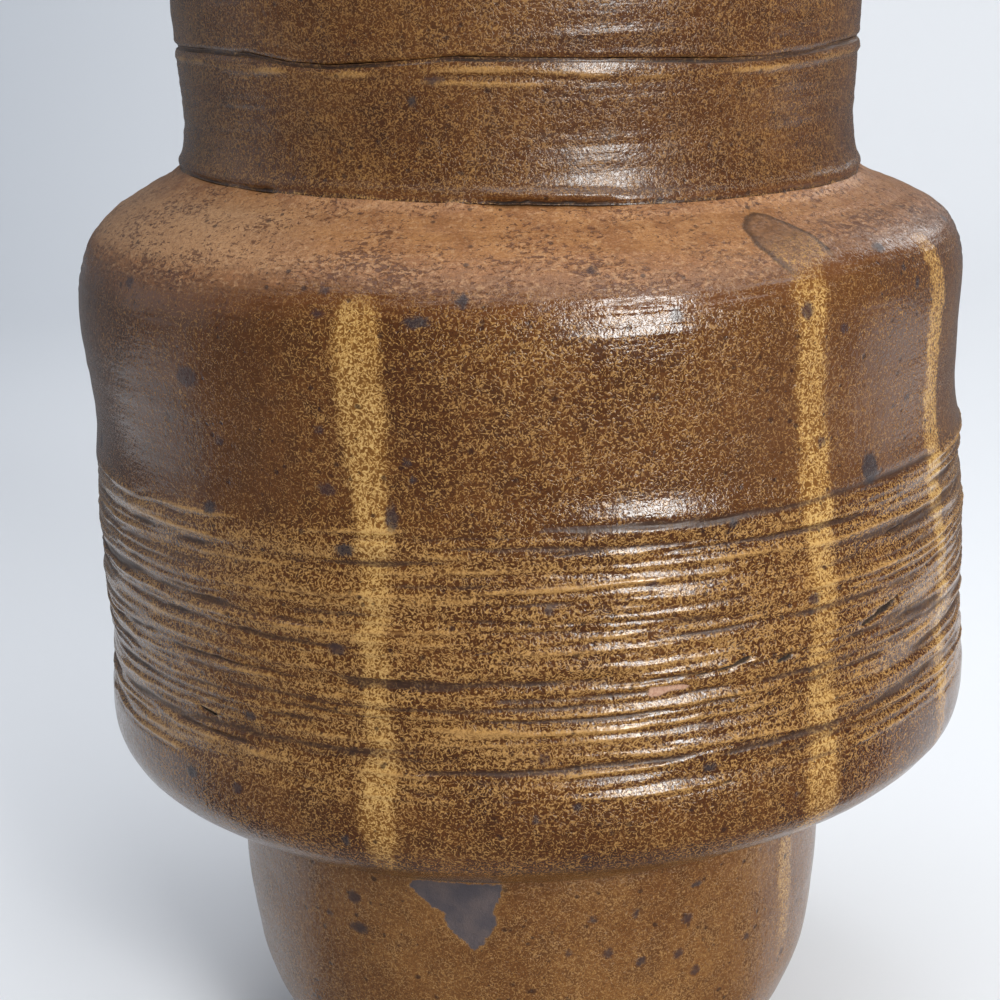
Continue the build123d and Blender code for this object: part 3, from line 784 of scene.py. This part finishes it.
def glaze(name, look):
    """Iron-brown stoneware glaze with curled golden crystals; look sets what differs between the pieces."""
    t = Tree(name)
    fine = t.noise(1.15, 1.0, 0.5, 0.3)                                # about 1 mm
    grit = t.noise(3.2, 1.0, 0.6, offset=(7, 3, 1))                     # about 0.3 mm
    broad = t.noise(0.055, 2.0, 0.55, offset=(31, 5, 9))                # 20 mm drifts
    middle = t.noise(0.21, 2.0, 0.6, offset=(3, 41, 19))                # 5 mm clouds
    streak = t.noise(0.16, 2.0, 0.6, squeeze=(1, 1, 9), offset=(11, 2, 5))   # drawn out round the pot
    wobble = t.mad(grit, 1.0, -0.5)

    tone = t.attr("tone")
    band = t.attr("band")
    zone = t.attr("zone")
    stripe_sdf, amount = t.attr("stripe"), t.attr("amount")

    # curled crystals: level lines of a bent noise and the walls of bent cells, both broken into short runs
    curl = t.noise(look["curl"], 0.5, 0.5, 1.3, offset=(17, 23, 2))
    line_ = t.math("ABSOLUTE", t.mad(curl, 1.0, -0.5))
    worm = t.math("SUBTRACT", 1.0, t.math("DIVIDE", line_, 0.155), clamp=True)
    broken = t.noise(look["curl"] * 2.1, 0.0, offset=(5, 67, 31))
    worm = t.mul(worm, t.step(broken, 0.36, 0.60))
    wall = t.cells(look["curl"] * 0.95, feature="DISTANCE_TO_EDGE", at=t.warped(0.9, 1.5))
    worm2 = t.math("SUBTRACT", 1.0, t.math("DIVIDE", wall.outputs["Distance"], 0.19), clamp=True)
    worm2 = t.mul(worm2, t.step(broken, 0.58, 0.38))
    worm = t.math("MAXIMUM", t.mul(worm, 0.9), worm2)

    soft = t.mad(t.mad(fine, 2.0, -1.0), 0.9, 0.0)
    stripe = t.mul(t.step(t.add(stripe_sdf, soft, t.mad(middle, 1.6, -0.8)), -1.0, 1.3), amount)
    drift = t.add(t.mad(broad, 1.6, -0.8), t.mad(middle, 1.2, -0.6))
    rich = t.add(look["rich"], t.attr("crowd"), t.mul(drift, look["drift"]), t.mul(tone, 0.24), t.mul(stripe, 0.30), t.mul(band, 0.05))
    level = t.mad(rich, -0.9, 0.82)
    value = t.add(worm, t.mul(wobble, 0.75))
    gold = t.step(value, t.add(level, -0.34), t.add(level, 0.10))
    bright = t.step(value, t.add(level, 0.02), t.add(level, 0.50))

    base = t.mix(t.step(t.add(broad, t.mul(t.mad(middle, 1.0, -0.5), 0.5)), 0.35, 0.65), look["dark"], look["mid"])
    base = t.mix(t.mul(t.step(grit, 0.42, 0.72), 0.55), base, look["deep"])
    base = t.mix(t.mul(t.step(fine, 0.50, 0.78), 0.35), base, look["mid"])
    base = t.mix(t.mul(t.step(middle, 0.46, 0.66), 0.42), base, look["deep"])
    base = t.mix(t.mul(stripe, 0.75), base, look["stripe_base"])
    ochre = t.mix(t.step(fine, 0.3, 0.7), look["gold"], look["gold2"])
    ochre = t.mix(t.mul(stripe, 0.80), ochre, look["stripe"])
    pale = t.mix(stripe, look["pale_gold"], look["stripe_pale"])
    colour = t.mix(t.mul(gold, look["cover"]), base, ochre)
    colour = t.mix(t.mul(bright, 0.62), colour, pale)
    # painted sheen: a flat cloudy veil over the pattern where the broad reflection falls, weaker in the stripes
    haze = t.mul(t.attr("haze"), t.mad(stripe, -0.7, 1.0))
    colour = t.mix(t.mul(haze, 0.36), colour, look["cloud"])
    # thick glaze pools darker in cuts, breaks paler on raised lines; through the same masks, the neck seam, collar
    # groove and crease get painted shade and the collar groove's lit edge a painted highlight
    pool = t.step(t.math("MULTIPLY", tone, -1.0), 0.15, 1.1)
    colour = t.mix(t.mul(pool, 0.55), colour, look["deep"])
    crest = t.step(tone, 0.45, 1.35)
    colour = t.mix(t.mul(crest, 0.45), colour, look["crest"])

    # thinly glazed shoulder, warm and bare-looking, browner in streaks towards its edge
    drag = t.noise(0.30, 3.0, 0.65, squeeze=(1, 1, 5), offset=(41, 7, 13))
    ragged = t.add(zone, t.mad(streak, 7.0, -3.5), t.mad(middle, 3.0, -1.5), wobble)
    on = t.step(ragged, -2.6, 1.4)
    rim_ = t.math("SUBTRACT", t.step(ragged, -6.0, -1.5), on)
    colour = t.mix(t.mul(rim_, t.mad(grit, 0.5, 0.15)), colour, look["burnt"])
    tan = t.mix(t.step(t.add(middle, t.mul(drag, 0.5)), 0.55, 0.95), look["tan"], look["tan2"])
    brown = t.step(t.add(t.mul(zone, 0.085), t.mad(drag, 1.7, -0.85), t.mad(middle, 0.9, -0.45)), 0.60, -0.02)
    tan = t.mix(t.mul(brown, 0.80), tan, look["umber"])
    # painted light: the left of the bare shoulder is painted paler, as for light falling on it from the left
    tan = t.mix(t.mul(t.attr("dry_side"), 0.55), tan, look["pale"])
    dash = t.noise(0.95, 2.0, 0.7, 0.5, squeeze=(1, 1, 2.2), offset=(2, 9, 44))
    cluster = t.noise(0.09, 2.0, 0.6, squeeze=(1, 1, 2.5), offset=(5, 19, 24))
    dashes = t.step(t.add(dash, t.mul(brown, 0.05), t.mad(cluster, 0.50, -0.25)), 0.57, 0.665)
    tan = t.mix(t.mul(dashes, 0.78), tan, look["rust"])
    flecks = t.step(t.add(dash, t.mad(cluster, -0.2, 0.1)), 0.42, 0.34)
    tan = t.mix(t.mul(flecks, 0.45), tan, look["pale"])
    tan = t.mix(t.mul(t.step(grit, 0.45, 0.75), 0.38), tan, look["rust"])
    tan = t.mix(t.mul(t.step(t.add(fine, t.mul(wobble, 0.4)), 0.52, 0.70), 0.30), tan, look["umber"])
    tan = t.mix(t.mul(t.step(t.add(fine, t.mul(wobble, 0.4)), 0.44, 0.28), 0.32), tan, look["pale"])
    colour = t.mix(t.mul(on, look["zone"]), colour, tan)

    # rounded stripe end: same tan, darker outline
    blob = t.attr("blob")
    bl = t.add(blob, t.mul(wobble, 0.5))
    fillb = t.step(bl, -0.25, 0.35)
    ringb = t.mul(fillb, t.step(bl, 1.7, 0.5))
    worms = t.mul(t.step(worm, 0.45, 0.8), t.step(zone, 6.5, 1.5))
    inside = t.mix(t.step(fine, 0.35, 0.65), look["blob"], look["blob2"])
    inside = t.mix(t.mul(worms, 0.8), inside, look["stripe"])
    inside = t.mix(t.mul(ringb, 0.75), inside, look["deep"])
    colour = t.mix(t.mul(fillb, t.mul(t.step(zone, -2.5, 0.5), 0.9)), colour, inside)

    # pin-head iron spots and the larger slate ones
    dots = t.cells(look["dots"], squeeze=(1, 1, 1.15))
    pick = t.step(t.noise(0.32, 1.0, offset=(77, 1, 8)), 0.50, 0.66)
    size = t.mad(pick, 0.14, 0.07)
    dot = t.math("SUBTRACT", 1.0, t.step(dots.outputs["Distance"], t.mul(size, 0.6), t.mul(size, 1.5)))
    colour = t.mix(t.mul(dot, look["dotted"]), colour, look["iron"])
    sp = t.add(t.attr("speck"), t.mul(t.mad(fine, 1.0, -0.5), 0.8), t.mul(wobble, 0.35))
    spot = t.step(sp, -0.40, 0.42)
    slate = t.mix(t.step(broad, 0.42, 0.58), look["slate"], look["plum"])
    colour = t.mix(t.mul(spot, 0.84), colour, slate)

    # near-black for real glaze cracks, and painted shadow in the neck seam's undercut, the collar groove and the crease
    crack = t.attr("crack")
    gap = t.step(t.add(crack, t.mul(wobble, 0.22)), 0.35, 0.85)
    colour = t.mix(t.mul(gap, 0.9), colour, look["gap"])
    ch = t.step(t.add(t.attr("chip"), t.mul(wobble, 0.5)), -0.15, 0.15)
    colour = t.mix(ch, colour, t.mix(t.step(grit, 0.3, 0.7), srgb(170, 136, 114), srgb(150, 112, 90)))

    # bare patches: no glaze, grey slip
    br = t.step(t.add(t.attr("bare"), t.mul(t.mad(fine, 1.0, -0.5), 1.2), t.mul(wobble, 0.4)), -0.18, 0.18)
    greyslip = t.mix(t.step(t.add(middle, t.mul(wobble, 0.3)), 0.35, 0.65), srgb(62, 56, 61), srgb(80, 69, 68))
    greyslip = t.mix(t.mul(t.step(grit, 0.55, 0.75), 0.5), greyslip, srgb(44, 39, 43))
    colour = t.mix(br, colour, greyslip)
    edge = t.math("SUBTRACT", t.step(t.attr("bare"), -1.2, 0.0), br, clamp=True)
    colour = t.mix(t.mul(edge, 0.15), colour, look["crest"])
    # raw clay under the foot
    raw = t.step(t.add(t.attr("raw"), t.mul(wobble, 0.6), t.mad(fine, 0.8, -0.4)), -0.2, 0.25)
    clay = t.mix(t.step(middle, 0.35, 0.65), srgb(150, 112, 84), srgb(126, 92, 68))
    clay = t.mix(t.mul(t.step(grit, 0.55, 0.75), 0.55), clay, srgb(74, 50, 36))
    colour = t.mix(raw, colour, clay)

    dry = t.math("MAXIMUM", br, t.math("MAXIMUM", raw, ch))
    rough = t.add(look["gloss"], t.mul(gold, 0.05), t.mul(t.mad(middle, 1.0, -0.5), 0.16), t.mul(wobble, 0.10),
                  t.mul(t.mul(on, look["zone"]), 0.26), t.mul(pool, 0.30), t.mul(spot, 0.10))
    rough = t.blend(dry, rough, 0.82)
    rough = t.blend(gap, rough, 0.9)

    # relief finer than the mesh, in mm
    height = t.add(t.mul(gold, 0.018), t.mul(fine, 0.075), t.mul(grit, 0.022), t.mul(streak, 0.05),
                   t.mul(middle, 0.10), t.mul(dot, -0.03))
    height = t.add(height, t.mul(t.mul(dashes, on), -0.09), t.mul(t.mul(on, look["zone"]), t.mul(dash, 0.10)), t.mul(dry, t.mul(grit, 0.07)), t.mul(br, -0.05),
                   t.mul(gap, -0.10), t.mul(ringb, -0.04))
    bump = t.t.nodes.new("ShaderNodeBump")
    bump.inputs["Distance"].default_value = 0.001
    bump.inputs["Strength"].default_value = 1.0
    t.put(bump.inputs["Height"], height)
    t.put(t.bsdf.inputs["Normal"], bump.outputs[0])
    t.put(t.bsdf.inputs["Base Color"], colour)
    t.put(t.bsdf.inputs["Roughness"], rough)
    t.bsdf.inputs["IOR"].default_value = 1.52
    t.bsdf.inputs["Specular IOR Level"].default_value = look["spec"]
    return t.mat


LOOK = dict(
    curl=0.98, rich=0.14, drift=0.22, cover=0.77, zone=1.0, dots=0.42, dotted=0.75, gloss=0.17, spec=0.5,
    dark=srgb(65, 34, 9), mid=srgb(82, 47, 17), deep=srgb(38, 18, 4), gold=srgb(142, 104, 54), gold2=srgb(114, 78, 36),
    pale_gold=srgb(172, 134, 80), stripe=srgb(164, 124, 66), stripe_base=srgb(112, 74, 30), stripe_pale=srgb(200, 166, 104),
    cloud=srgb(98, 64, 36), crest=srgb(166, 126, 72), burnt=srgb(102, 60, 28), tan=srgb(154, 108, 65), tan2=srgb(132, 87, 49),
    umber=srgb(100, 62, 30), pale=srgb(176, 138, 100),
    rust=srgb(72, 36, 15), blob=srgb(118, 82, 52), blob2=srgb(88, 57, 32), iron=srgb(42, 22, 12), slate=srgb(40, 35, 38),
    plum=srgb(52, 34, 32), gap=srgb(14, 7, 4),
)
BODY = dict(LOOK)
NECK = dict(LOOK, curl=1.15, rich=0.24, gloss=0.24, cover=0.65, zone=0.0, dark=srgb(68, 37, 12), mid=srgb(84, 50, 20),
            gold=srgb(130, 92, 46), gold2=srgb(108, 73, 35), pale_gold=srgb(150, 112, 62))
FOOT = dict(LOOK, curl=1.1, rich=0.24, cover=0.6, zone=0.0, dark=srgb(92, 56, 22), mid=srgb(108, 70, 32),
            gold=srgb(138, 100, 52), gold2=srgb(122, 84, 42), pale_gold=srgb(160, 122, 74), deep=srgb(62, 35, 13), gloss=0.22, dots=0.36)
JOINT = dict(LOOK, rich=0.2, zone=0.0, dark=srgb(56, 30, 10), mid=srgb(70, 40, 16), gloss=0.3)


# ------------------------------------------------------------------ the pieces
body_glaze = glaze("body_glaze_look", BODY)
neck_glaze = glaze("neck_glaze_look", NECK)
foot_glaze = glaze("foot_glaze_look", FOOT)
joint_glaze = glaze("joint_slip_look", JOINT)

fine_ring, mid_ring = ring_angles(228, 140), ring_angles(216, 132)

foot = turned(
    "foot_bowl_piece",
    [
        (line([(0, 3.2), (31.6, 3.2), (33, 1.8), (33, 0.7), (33.7, 0), (39.2, 0), (40, 0.8)], 4.0), "foot"),
        (np.vstack([line([(40, 0.8), (40.2, 4.0)], 0.8), flow([(40.2, 4.0)] + FOOT_OUTER, 1.0)[1:]]), "out"),
    ]
    + hidden([(57.5, 60.4), (53.4, 60.4), (53.4, 66.0), (50.5, 66.0), (50.5, 60.4)])
    + [(flow(FOOT_INNER, 3.0), "in")],
    mid_ring, "foot_bowl", foot_glaze, closed=False)


def drum_rows(z):
    if z < 73:
        return 1.5
    if z < 84:
        return 0.8
    if z < 129.8:
        return 0.33
    if z < 158:
        return 0.9
    return 0.7


outer = np.vstack([flow(DRUM_UNDER, drum_rows), flow(DRUM_WALL, drum_rows)[1:]])
drum = turned(
    "body_drum_piece",
    [(outer, "out")] + hidden([(61.6, 177.2), (56.7, 177.2), (56.7, 182.4), (53.8, 182.4), (53.8, 181.8)])
    + [(flow(DRUM_INNER, 6.0), "in")] + hidden([(54.2, 68.4), (54.2, 61.2), (58.4, 61.2)]),
    fine_ring, "body_drum", body_glaze)

collar = turned(
    "neck_collar_piece",
    hidden([(57.5, 178.0), (61.4, 178.0)]) + [(flow(COLLAR_OUTER, 0.45), "out")]
    + hidden([(60.9, 197.6), (56.7, 197.6), (56.7, 202.6), (53.8, 202.6)])
    + [(line([(53.8, 202.6), (53.8, 183.2)], 4.0), "hid")] + hidden([(53.8, 183.2), (57.5, 183.2), (57.5, 178.0)]),
    mid_ring, "neck_collar", neck_glaze)

rim = turned(
    "neck_rim_piece",
    hidden([(57.5, 198.4), (60.6, 198.4)])
    + [(flow(RIM_OUTER, lambda z: 0.45 if z < 204 else 0.8), "out"), (flow(RIM_LIP, 0.6), "lip"), (flow(RIM_INNER, 2.0), "in")]
    + hidden([(53.8, 203.4), (57.5, 203.4), (57.5, 198.4)]),
    mid_ring, "neck_rim", neck_glaze)

slip_a = turned(
    "joint_slip_foot_piece",
    [(line([(57.5, 60.4), (58.4, 61.2)], 0.4), "out")]
    + hidden([(58.4, 61.2), (54.2, 61.2), (54.2, 65.4), (53.4, 65.4), (53.4, 60.4), (57.5, 60.4)]),
    mid_ring, "foot_joint_slip", joint_glaze)
slip_b = turned(
    "joint_slip_neck_piece",
    [(line([(61.6, 177.2), (61.4, 178.0)], 0.4), "out")]
    + hidden([(61.4, 178.0), (57.5, 178.0), (57.5, 183.2), (53.8, 183.2), (53.8, 182.4), (56.7, 182.4), (56.7, 177.2), (61.6, 177.2)]),
    mid_ring, "neck_joint_slip", joint_glaze)
slip_c = turned(
    "joint_slip_collar_piece",
    [(line([(60.9, 197.6), (60.6, 198.4)], 0.4), "out")]
    + hidden([(60.6, 198.4), (57.5, 198.4), (57.5, 203.4), (53.8, 203.4), (53.8, 202.6), (56.7, 202.6), (56.7, 197.6), (60.9, 197.6)]),
    mid_ring, "collar_joint_slip", joint_glaze)

# ------------------------------------------------------------------ floor, light, camera
def sweep(name, profile, material):
    """One strip of the pale floor, or the sheet that curves up behind it."""
    xs = np.linspace(-4.0, 4.0, 13)
    verts = [(x, y, z) for x in xs for y, z in profile]
    n = len(profile)
    faces = [(i * n + j, i * n + n + j, i * n + n + j + 1, i * n + j + 1) for i in range(len(xs) - 1) for j in range(n - 1)]
    mesh = bpy.data.meshes.new(name)
    mesh.from_pydata(verts, [], faces)
    mesh.polygons.foreach_set("use_smooth", [True] * len(faces))
    mesh.materials.append(material)
    obj = bpy.data.objects.new(name, mesh)
    bpy.context.scene.collection.objects.link(obj)
    return obj


def pale(name):
    t = Tree(name)
    near = t.mix(t.noise(0.004, 2.0), (0.78, 0.80, 0.83, 1), (0.80, 0.82, 0.85, 1))
    sep = t.t.nodes.new("ShaderNodeSeparateXYZ")
    t.put(sep.inputs[0], t.p)
    # painted shade: the far left of the floor and the sheet behind it are painted darker blue-grey, for light falling
    # off away from the window
    far = t.mul(t.step(sep.outputs[0], 250.0, -900.0), t.step(sep.outputs[1], 150.0, 900.0))
    t.put(t.bsdf.inputs["Base Color"], t.mix(t.mul(far, 0.95), near, (0.45, 0.49, 0.55, 1)))
    t.put(t.bsdf.inputs["Roughness"], t.mad(t.noise(0.25, 2.0), 0.1, 0.6))
    t.bsdf.inputs["Specular IOR Level"].default_value = 0.15
    return t.mat


pale_floor = pale("pale_floor")
BACK, RISE = 0.85, 0.9
# the glaze mirrors the dim room, the soft boxes and the floor close behind the foot
for name, profile, mirrored in [
    ("floor_front", [(y, 0.0) for y in (-2.6, -1.6, -0.8, -0.3, -0.02)], False),
    ("floor_near", [(-0.02, 0.0), (0.1, 0.0), (0.3, 0.0)], True),
    ("floor_back", [(0.3, 0.0), (0.5, 0.0), (BACK, 0.0)] + [
        (BACK + RISE * math.sin(k * math.pi / 24), RISE - RISE * math.cos(k * math.pi / 24)) for k in range(1, 13)]
        + [(BACK + RISE, 4.0)], False),
]:
    sweep(name, profile, pale_floor).visible_glossy = mirrored

scene = bpy.context.scene
world = bpy.data.worlds.new("studio_world")
scene.world = world
world.use_nodes = True
bg = world.node_tree.nodes["Background"] if "Background" in world.node_tree.nodes else world.node_tree.nodes.new("ShaderNodeBackground")
bg.inputs["Color"].default_value = (0.86, 0.91, 1.0, 1)
bg.inputs["Strength"].default_value = 0.21


def panel(name, azimuth, elevation, distance, width, height, power, colour, target=(0, 0, 0.12)):
    """A soft box round the object; azimuth 0 is the camera's side, plus is to the right."""
    data = bpy.data.lights.new(name, "AREA")
    data.shape = "RECTANGLE"
    data.size, data.size_y = width, height
    data.energy = power
    data.color = colour
    obj = bpy.data.objects.new(name, data)
    a, e = math.radians(azimuth), math.radians(elevation)
    at = Vector(target)
    pos = at + distance * Vector((math.sin(a) * math.cos(e), -math.cos(a) * math.cos(e), math.sin(e)))
    z = (pos - at).normalized()
    x = Vector((0, 0, 1)).cross(z).normalized()
    y = z.cross(x)
    obj.matrix_world = Matrix((
        (x.x, y.x, z.x, pos.x), (x.y, y.y, z.y, pos.y), (x.z, y.z, z.z, pos.z), (0, 0, 0, 1)))
    scene.collection.objects.link(obj)
    return obj


panel("window", 27, 19, 1.6, 0.44, 0.80, 27, (1.0, 0.985, 0.95))
panel("top_soft", 70, 60, 1.6, 1.1, 1.1, 10, (1.0, 1.0, 0.99))
panel("over", -60, 78, 2.0, 1.6, 1.6, 19, (0.95, 0.97, 1.0))
panel("backdrop_right", 118, 38, 1.5, 0.8, 0.8, 7, (1.0, 0.99, 0.98), target=(0.4, 0.95, 0.1))
panel("left_sky", -100, 20, 2.2, 1.5, 1.5, 3.0, (0.80, 0.89, 1.0))

cam_data = bpy.data.cameras.new("camera")
cam_data.sensor_width = 36.0
cam_data.lens = 73.605
cam_data.clip_start, cam_data.clip_end = 0.01, 50
camera = bpy.data.objects.new("camera", cam_data)
pitch, roll = math.radians(15.569), math.radians(-2.182)
ahead = Vector((0, math.cos(pitch), -math.sin(pitch)))
upward = Vector((0, math.sin(pitch), math.cos(pitch)))
across = Vector((1, 0, 0))
right = math.cos(roll) * across + math.sin(roll) * upward
up = -math.sin(roll) * across + math.cos(roll) * upward
camera.matrix_world = Matrix((
    (right.x, up.x, -ahead.x, -0.005918), (right.y, up.y, -ahead.y, -0.37732),
    (right.z, up.z, -ahead.z, 0.2176), (0, 0, 0, 1)))
scene.collection.objects.link(camera)
scene.camera = camera
scene.view_settings.view_transform = "Standard"
scene.view_settings.look = "None"
